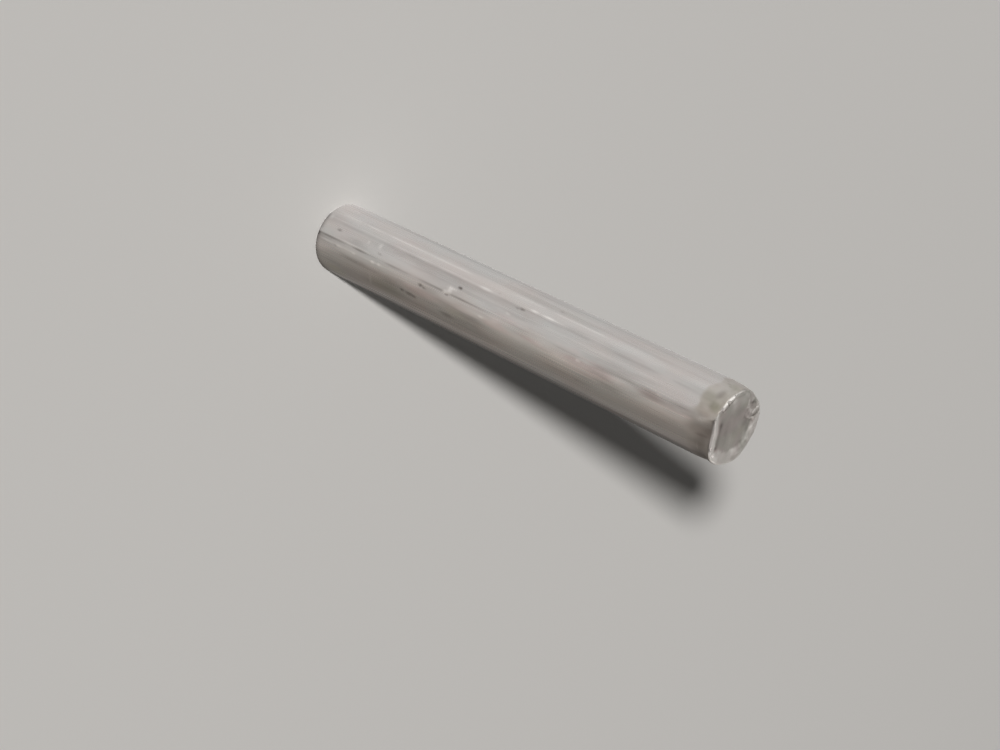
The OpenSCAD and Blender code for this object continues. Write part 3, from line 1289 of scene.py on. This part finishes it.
@dataclass(frozen=True)
class WornSteel:
    """Satin steel with fine lines along the shank, a dull film on the lead and torn metal on the tip.

    Attributes:
        steel: the ground metal.
        warm: the metal where it has a pink cast.
        cool: the metal where it has a blue cast.
        bright: the light colour, for metal rubbed bright and for painted highlights and glints.
        film: the dull film on the lead.
        pink: metal with a pink stain.
        olive: metal with an olive stain.
        dull_olive: the film where it is olive.
        grime_and_shade: the dark colour, for dirt and for painted shade in pits, gouges and hollows.
        face: the metal of the worn face.
        face_cast: the same where it has a greenish cast.
        roughness: how rough the ground metal is.
        film_roughness: how rough the film is.
        face_roughness: how rough the worn face is.
        smoother_lip: how much less rough the lip is, where it has been rubbed.
        stain: the tint, either way, from which on a stain is at its strongest.
        stain_share: the share of the stain there, on the shank.
        face_stain_share: the same on the worn face.
        line_limit: the shank's shade, either way, at which it is all the light colour or all the dark one.
        face_bright: the relief shade at which the face is at its lightest, and the share of the light colour
            there.
        face_grime_and_shade: the relief shade at which it is at its darkest, and the share of the dark
            colour there.
        bump_strength: how strong the bump of the finest grain is.
        bump_height: its height, in metres.
        mottled: how much of the warm and cool mottling is mixed into the ground metal.
        olive_film: the tint at which the film is at its most olive.
        fine_line: how light and dark the finest lines are.
        fine_cells: the finest lines' cells per metre along X, Y and Z.
        mottle_cells: the mottling's cells.
        grain_cells: the cells of the grain on the film and on the worn face.
        cast_cells: the cells of the casts on the worn face.
    """

    steel: Colour = (0.62, 0.605, 0.59, 1.0)
    warm: Colour = (0.60, 0.56, 0.545, 1.0)
    cool: Colour = (0.58, 0.60, 0.60, 1.0)
    bright: Colour = (0.86, 0.85, 0.83, 1.0)
    film: Colour = (0.43, 0.395, 0.345, 1.0)
    pink: Colour = (0.62, 0.535, 0.53, 1.0)
    olive: Colour = (0.53, 0.545, 0.45, 1.0)
    dull_olive: Colour = (0.36, 0.36, 0.27, 1.0)
    grime_and_shade: Colour = (0.10, 0.085, 0.075, 1.0)
    face: Colour = (0.57, 0.535, 0.52, 1.0)
    face_cast: Colour = (0.54, 0.545, 0.51, 1.0)
    roughness: float = 0.27
    film_roughness: float = 0.40
    face_roughness: float = 0.36
    smoother_lip: float = 0.12
    stain: float = 2.0
    stain_share: float = 0.6
    face_stain_share: float = 0.8
    line_limit: float = 2.4
    face_bright: tuple[float, float] = (1.2, 1.0)
    face_grime_and_shade: tuple[float, float] = (-1.6, 0.9)
    bump_strength: float = 0.35
    bump_height: float = 0.002 * MM
    mottled: float = 0.6
    olive_film: float = -2.4
    fine_line: float = 0.045
    fine_cells: tuple[float, float, float] = (4200.0, 4200.0, 90.0)
    mottle_cells: tuple[float, float, float] = (520.0, 520.0, 210.0)
    grain_cells: tuple[float, float, float] = (7000.0, 7000.0, 7000.0)
    cast_cells: tuple[float, float, float] = (760.0, 760.0, 760.0)

    def material(self) -> bpy.types.Material:
        """The material, which reads Object coordinates and the mesh's named shades."""
        made, bench, shader = new_material("worn_steel")
        fine = bench.noise(self.fine_cells, 1.5, 0.5)
        mottle = bench.noise(self.mottle_cells, 3.0, 0.5)
        grain = bench.noise(self.grain_cells, 3.0, 0.6)
        film, face = bench.shade("film"), bench.shade("face")
        colour = bench.blend(face, self.shank_colour(bench, film, fine, mottle), self.face_colour(bench))
        rough = self.rough(bench, film, face, fine)
        covered = bench.maths("MAXIMUM", film, face)
        plain_bump = bench.maths("MULTIPLY", fine, bench.maths("SUBTRACT", 1.0, covered))
        grain_bump = bench.maths("MULTIPLY", grain, covered)
        bump = bench.node("ShaderNodeBump")
        height = bench.maths("ADD", plain_bump, grain_bump)
        bench.fill(bump, {"Strength": self.bump_strength, "Distance": self.bump_height, "Height": height})
        normal = bump.outputs["Normal"]
        bench.fill(shader, {"Metallic": 1.0, "Base Color": colour, "Roughness": rough, "Normal": normal})
        return made

    def shank_colour(self, bench: Bench, film: Socket, fine: Socket, mottle: Socket) -> Socket:
        """The colour of the shank and the lead: mottled steel with stains, the film, the lines, and painted
        glints and shade.

        Args:
            bench: the material's nodes.
            film: the share of the film.
            fine: the noise of the finest lines.
            mottle: the noise that mottles the metal.

        Returns:
            The colour.
        """
        tint = bench.shade("tint")
        tinted = bench.blend(bench.span(mottle, 0.35, 0.65, 0.0, 1.0), self.warm, self.cool)
        colour = bench.blend(self.mottled, self.steel, tinted)
        colour = bench.pull(tint, colour, self.pink, self.stain, self.stain_share)
        colour = bench.pull(tint, colour, self.olive, -self.stain, self.stain_share)
        filmed = bench.maths("MULTIPLY", film, bench.span(mottle, 0.2, 0.8, 0.8, 1.0))
        dull = bench.blend(bench.span(tint, self.olive_film, 0.0, 0.0, 1.0), self.dull_olive, self.film)
        colour = bench.blend(filmed, colour, dull)
        finest = bench.span(fine, 0.3, 0.7, -self.fine_line, self.fine_line)
        lines = bench.maths("ADD", bench.shade("streaks_glints_and_shade"), finest)
        # The light and dark colours by the shank's shade: rubbed metal and dirt, and painted glints and
        # painted shade.
        colour = bench.pull(lines, colour, self.bright, self.line_limit, 1.0)
        return bench.pull(lines, colour, self.grime_and_shade, -self.line_limit, 1.0)

    def face_colour(self, bench: Bench) -> Socket:
        """The colour of the worn face: two casts of the metal, stains, and light and dark paint that is
        partly rubbed metal and dirt, partly painted highlight and shade.
        """
        tint, relief = bench.shade("tint"), bench.shade("relief")
        cast = bench.noise(self.cast_cells, 2.0, 0.5)
        colour = bench.blend(bench.span(cast, 0.38, 0.62, 0.0, 1.0), self.face, self.face_cast)
        colour = bench.pull(tint, colour, self.pink, self.stain, self.face_stain_share)
        colour = bench.pull(tint, colour, self.olive, -self.stain, self.face_stain_share)
        # The light and dark colours by the face's shade: rubbed metal and dirt, and painted highlight and
        # painted shade.
        colour = bench.pull(relief, colour, self.bright, *self.face_bright)
        return bench.pull(relief, colour, self.grime_and_shade, *self.face_grime_and_shade)

    def rough(self, bench: Bench, film: Socket, face: Socket, fine: Socket) -> Socket:
        """The roughness: the ground metal's, and more on the film and on the worn face.

        Args:
            bench: the material's nodes.
            film: the share of the film.
            face: the share of the worn face.
            fine: the noise of the finest lines.

        Returns:
            The roughness.
        """
        rough = bench.span(fine, 0.3, 0.7, self.roughness - 0.02, self.roughness + 0.04)
        for share, target in ((film, self.film_roughness), (face, self.face_roughness)):
            more = bench.span(share, 0.0, 1.0, 0.0, target - self.roughness)
            rough = bench.maths("ADD", rough, more)
        less = bench.span(bench.shade("relief"), 1.8, 2.4, 0.0, self.smoother_lip)
        return bench.maths("SUBTRACT", rough, less)


# ---------------------------------------------------------------- the studio


@dataclass(frozen=True)
class PaleFloor:
    """A plain pale floor at the height of the plain end.

    Attributes:
        radius: how far it reaches, in metres.
        colour: its colour.
    """

    radius: float = 3.0
    colour: Colour = (0.80, 0.80, 0.79, 1.0)

    def build(self) -> bpy.types.Object:
        """Makes the floor, a flat disc."""
        turn = np.linspace(0.0, 2.0 * math.pi, 64, endpoint=False)
        ring = np.stack((np.cos(turn), np.sin(turn), np.zeros(turn.size)), axis=-1) * self.radius
        paint, bench, shader = new_material("pale_floor")
        bench.fill(shader, {"Base Color": self.colour, **MATT})
        floor = new_card("floor", ring, np.arange(turn.size)[None, :], paint)
        return floor


class Ring(Enum):
    """A ring of the reflector on the floor."""

    NEAR = "close to the pin"
    FAR = "further out"
    OUTER = "near the reflector's rim"


@dataclass(frozen=True)
class Glow:
    """How brightly a reflector glows in one direction.

    Attributes:
        turn: the direction, in degrees from -180 to 180.
        near: the glow close to the pin.
        far: the glow further out.
        outer: the glow near the reflector's rim.
        warmth: how warm its colour is, from 0 to 1.
    """

    turn: float
    near: float
    far: float
    outer: float
    warmth: float

    def colour(self, ring: Ring) -> Colour:
        """The colour of the glow in one ring, between a pale and a brownish light."""
        strength = {Ring.NEAR: self.near, Ring.FAR: self.far, Ring.OUTER: self.outer}[ring]
        pale, brown = (1.0, 0.963, 0.94), (1.0, 0.90, 0.81)
        red, green, blue = (p + (b - p) * self.warmth for p, b in zip(pale, brown))
        return (strength * red, strength * green, strength * blue, 1.0)


@dataclass(frozen=True)
class LowReflector:
    """A card that lies on the floor round the pin and shows only as a reflection in its shank.

    Its glow changes with the turn round the pin, bright on one side and dark on the other, and a
    little with the distance from the pin. Next to the pin it is dark, as a crevice is, but for the side
    where the light reaches in.

    Attributes:
        rings: radii in metres: the inner edge, the end of the dark crevice, the end of the near glow,
            the start and the end of the far glow, the start of the outer glow and the outer edge.
        open_side: the turn up to which the light reaches in, and the one from which it doesn't.
        crevice: how much of the glow is left at the inner edge, in the crevice.
        lift: how far it lies above the floor, in metres.
        glows: the glow in each direction.
    """

    rings: tuple[float, ...] = (0.0030, 0.0038, 0.0110, 0.0270, 0.115, 0.150, 1.2)
    open_side: tuple[float, float] = (-34.0, -18.0)
    crevice: float = 0.25
    lift: float = 0.05 * MM
    glows: tuple[Glow, ...] = (
        Glow(-180.0, 0.58, 0.60, 0.62, 0.0),
        Glow(-135.0, 0.54, 0.61, 0.63, 0.0),
        Glow(-108.0, 0.73, 0.75, 0.78, 0.0),
        Glow(-88.0, 0.77, 0.78, 0.80, 0.0),
        Glow(-72.0, 0.82, 0.87, 0.84, 0.0),
        Glow(-50.0, 0.81, 0.81, 0.78, 0.0),
        Glow(-36.0, 0.70, 0.72, 0.70, 0.0),
        Glow(-14.0, 0.73, 0.75, 0.66, 0.0),
        Glow(2.0, 0.71, 0.765, 0.60, 0.1),
        Glow(14.0, 0.62, 0.65, 0.56, 0.3),
        Glow(28.0, 0.54, 0.65, 0.56, 0.55),
        Glow(44.0, 0.37, 0.50, 0.46, 0.85),
        Glow(62.0, 0.28, 0.34, 0.26, 1.0),
        Glow(84.0, 0.225, 0.275, 0.16, 0.95),
        Glow(104.0, 0.24, 0.265, 0.12, 0.85),
        Glow(122.0, 0.275, 0.28, 0.12, 0.5),
        Glow(138.0, 0.08, 0.10, 0.24, 0.5),
        Glow(180.0, 0.03, 0.05, 0.62, 0.5),
    )

    def build(self) -> bpy.types.Object:
        """Makes the card as a flat ring, shown only in reflections."""
        turn = np.linspace(0.0, 2.0 * math.pi, 96, endpoint=False)
        ring = np.stack((np.cos(turn), np.sin(turn), np.zeros(turn.size)), axis=-1)
        places = np.vstack((ring * self.rings[0], ring * self.rings[-1]))
        places = places + np.array([0.0, 0.0, self.lift])
        first = np.arange(turn.size)
        after = (first + 1) % turn.size
        quads = np.stack((first, first + turn.size, after + turn.size, after), axis=-1)
        card = new_card("low_reflector", places, quads, self.material())
        show_in_metal_only(card)
        return card

    def ramp(self, bench: Bench, share: Socket, ring: Ring) -> Socket:
        """The colour of the near, the far or the outer glow, by direction.

        Args:
            bench: the material's nodes.
            share: the direction, where 0 is -180 degrees and 1 is 180 degrees.
            ring: the ring whose glow is wanted.

        Returns:
            The colour.
        """
        return bench.ramp(share, [((glow.turn + 180.0) / 360.0, glow.colour(ring)) for glow in self.glows])

    def material(self) -> bpy.types.Material:
        """A glow that follows the turn round the pin and the distance from it."""
        made, bench, shader = new_material("low_reflector")
        bench.tree.nodes.remove(shader)
        where = bench.node("ShaderNodeTexCoord")
        parts = bench.node("ShaderNodeSeparateXYZ")
        bench.plug(parts.inputs[0], where.outputs["Object"])
        front = bench.maths("MULTIPLY", parts.outputs["Y"], -1.0)
        share = bench.span(bench.maths("ARCTAN2", parts.outputs["X"], front), -math.pi, math.pi, 0.0, 1.0)
        length = bench.node("ShaderNodeVectorMath", operation="LENGTH")
        bench.plug(length.inputs[0], where.outputs["Object"])
        distance = length.outputs["Value"]
        crevice = bench.span(distance, self.rings[0], self.rings[1], self.crevice, 1.0)
        open_share, closed_share = ((turn + 180.0) / 360.0 for turn in self.open_side)
        crevice = bench.maths("MAXIMUM", crevice, bench.span(share, open_share, closed_share, 1.0, 0.0))
        outward = bench.span(distance, self.rings[2], self.rings[3], 0.0, 1.0)
        light = bench.node("ShaderNodeEmission")
        colour = bench.blend(outward, self.ramp(bench, share, Ring.NEAR), self.ramp(bench, share, Ring.FAR))
        outermost = bench.span(distance, self.rings[4], self.rings[5], 0.0, 1.0)
        colour = bench.blend(outermost, colour, self.ramp(bench, share, Ring.OUTER))
        bench.fill(light, {"Color": colour, "Strength": crevice})
        output = made.node_tree.nodes["Material Output"]
        bench.plug(output.inputs["Surface"], light.outputs[0])
        return made


class Reach(Enum):
    """What a light is for."""

    FLOOR = "lights the floor, and isn't seen in the metal"
    METAL = "is seen in the metal, and doesn't light the floor"


@dataclass(frozen=True)
class Softbox:
    """A round soft light that looks at the pin.

    Attributes:
        name: what it is called.
        reach: what it is for.
        turn: the direction it stands in.
        elevation: its angle above the floor.
        distance: how far it stands from the pin, in metres.
        spread: how wide it looks from the pin, in degrees.
        glow: how bright its face is.
        colour: its colour.
    """

    name: str
    reach: Reach
    turn: float
    elevation: float
    distance: float
    spread: float
    glow: float
    colour: tuple[float, float, float] = (1.0, 0.97, 0.94)

    def build(self, aim: Vector) -> bpy.types.Object:
        """Makes the light and turns it towards a point."""
        turn, elevation = math.radians(self.turn), math.radians(self.elevation)
        level = math.cos(elevation)
        back = Vector((math.sin(turn) * level, -math.cos(turn) * level, math.sin(elevation)))
        data = bpy.data.lights.new(self.name, "AREA")
        data.shape, data.size = "DISK", 2.0 * self.distance * math.tan(math.radians(self.spread / 2))
        data.energy = self.glow * math.pi * math.pi * (data.size / 2) ** 2
        data.color = self.colour
        lamp = add_object(self.name, data)
        lamp.location = aim + back * self.distance
        lamp.rotation_mode = "QUATERNION"
        lamp.rotation_quaternion = (-back).to_track_quat("-Z", "Y")
        lamp.visible_camera = False
        lamp.visible_diffuse = self.reach is Reach.FLOOR
        lamp.visible_glossy = self.reach is Reach.METAL
        return lamp


@dataclass(frozen=True)
class DarkCard:
    """An upright curved card beside the pin, dark brown, that shows only as a reflection.

    Attributes:
        radius: its distance from the pin, in metres.
        height: how high it is.
        from_turn: where it begins.
        to_turn: where it ends.
        glow: how bright it is.
        tint: the colour of that glow.
    """

    radius: float = 0.30
    height: float = 0.16
    from_turn: float = 34.0
    to_turn: float = 94.0
    glow: float = 0.19
    tint: Colour = (1.0, 0.88, 0.80, 1.0)

    def build(self) -> bpy.types.Object:
        """Makes the card, a strip of a cylinder, shown only in reflections."""
        turn = np.radians(np.linspace(self.from_turn, self.to_turn, 33))
        low = np.stack((np.sin(turn), -np.cos(turn), np.zeros(turn.size)), axis=-1) * self.radius
        high = low + np.array([0.0, 0.0, self.height])
        first = np.arange(turn.size - 1)
        quads = np.stack((first, first + 1, first + 1 + turn.size, first + turn.size), axis=-1)
        black = (0.0, 0.0, 0.0, 1.0)
        paint, bench, shader = new_material("dark_card")
        glow = {"Emission Color": self.tint, "Emission Strength": self.glow}
        bench.fill(shader, {"Base Color": black, **MATT, **glow})
        card = new_card("dark_card", np.vstack((low, high)), quads, paint)
        show_in_metal_only(card)
        return card


@dataclass(frozen=True)
class Surroundings:
    """The light that comes from all round: pale at the horizon and darker overhead.

    Attributes:
        stops: the upward part of a direction, from 0 at the horizon to 1 overhead, and its glow.
        tint: the colour of that light.
    """

    stops: tuple[tuple[float, float], ...] = (
        (0.0, 0.62),
        (0.08, 0.54),
        (0.22, 0.17),
        (0.45, 0.05),
        (1.0, 0.03),
    )
    tint: tuple[float, float, float] = (1.0, 0.965, 0.925)

    def build(self) -> bpy.types.World:
        """Makes the world and gives it to the scene."""
        world = bpy.data.worlds.new("studio")
        world.use_nodes = True
        bench = Bench(world.node_tree)
        where = bench.node("ShaderNodeTexCoord")
        parts = bench.node("ShaderNodeSeparateXYZ")
        bench.plug(parts.inputs[0], where.outputs["Generated"])
        stops = [(place, (*(glow * part for part in self.tint), 1.0)) for place, glow in self.stops]
        light = bench.ramp(parts.outputs["Z"], stops)
        bench.plug(world.node_tree.nodes["Background"].inputs["Color"], light)
        bpy.context.scene.world = world
        return world


@dataclass(frozen=True)
class Studio:
    """The floor, the cards, the lights and the surroundings.

    Attributes:
        floor: the floor.
        reflector: the card that lies round the pin.
        dark_card: the card that stands beside the pin.
        surroundings: the light from all round.
        lights: the key light and the softboxes.
    """

    floor: PaleFloor = PaleFloor()
    reflector: LowReflector = LowReflector()
    dark_card: DarkCard = DarkCard()
    surroundings: Surroundings = Surroundings()
    lights: tuple[Softbox, ...] = (
        Softbox("key", Reach.FLOOR, -6.5, 29.3, 6.0, 3.8, 1036.0),
        Softbox("back_card", Reach.METAL, 180.0, 29.0, 1.5, 46.0, 0.268, (1.0, 0.935, 0.885)),
        Softbox("lip_card", Reach.METAL, -142.0, 59.0, 1.2, 33.0, 1.70),
        Softbox("left_card", Reach.METAL, -78.0, 37.0, 1.2, 56.0, 1.20, (1.0, 0.975, 0.95)),
        Softbox("front_card", Reach.METAL, -30.0, 32.0, 1.2, 70.0, 0.55),
        Softbox("right_card", Reach.METAL, 48.0, 50.0, 1.2, 44.0, 0.36, (1.0, 0.90, 0.86)),
        Softbox("rim_card", Reach.METAL, 120.0, 12.0, 1.2, 46.0, 0.85),
        Softbox("corner_card", Reach.METAL, 151.0, 27.0, 1.2, 22.0, 1.0),
        Softbox("edge_card", Reach.METAL, -145.0, 24.0, 1.2, 26.0, 0.5),
        Softbox("top_card", Reach.METAL, 100.0, 66.0, 1.2, 40.0, 0.30),
        Softbox("side_card", Reach.METAL, 150.0, 55.0, 1.2, 28.0, 0.70, (1.0, 0.91, 0.87)),
    )

    def build(self, aim: Vector) -> None:
        """Sets up the studio round a point."""
        self.floor.build()
        self.reflector.build()
        self.dark_card.build()
        self.surroundings.build()
        for light in self.lights:
            light.build(aim)


@dataclass(frozen=True)
class Viewpoint:
    """The camera, in diameters of the pin so that it frames any size of it alike.

    Attributes:
        place: where it stands.
        aim: a point on its line of sight.
        roll: how far it is rolled about that line, in degrees.
        lens: its focal length in millimetres.
    """

    place: tuple[float, float, float] = (0.0, -18.255, 17.205)
    aim: tuple[float, float, float] = (0.899, 4.789, 0.0)
    roll: float = 117.09
    lens: float = 63.42

    def build(self, diameter: float) -> bpy.types.Object:
        """Makes the camera and gives it to the scene."""
        data = bpy.data.cameras.new("camera")
        data.lens, data.sensor_width = self.lens, 36.0
        data.clip_start, data.clip_end = 0.001, 20.0
        camera = add_object("camera", data)
        place, aim = Vector(self.place) * diameter, Vector(self.aim) * diameter
        sight = (aim - place).to_track_quat("-Z", "Y").to_matrix()
        rolled = sight @ Matrix.Rotation(math.radians(self.roll), 3, "Z")
        camera.matrix_world = Matrix.LocRotScale(place, rolled, None)
        bpy.context.scene.camera = camera
        return camera


# ---------------------------------------------------------------- everything together


def main() -> None:
    """Builds the camera, the pin and the studio, in that order."""
    logging.basicConfig(level=logging.INFO, format="%(name)s: %(message)s")
    bpy.context.scene.view_settings.view_transform = "Standard"
    sizes = PinSizes.from_box(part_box(NODE))
    Viewpoint().build(2 * sizes.radius * MM)
    pin = DowelPin(sizes).build()
    pin.data.materials.append(WornSteel().material())
    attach(pin, "root")
    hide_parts(NODE)
    log.info("pin: %d points, %d faces", len(pin.data.vertices), len(pin.data.polygons))
    Studio().build(Vector((0.0, 0.0, sizes.length / 2 * MM)))
    log.info("studio: ready")


if __name__ == "__main__":
    main()
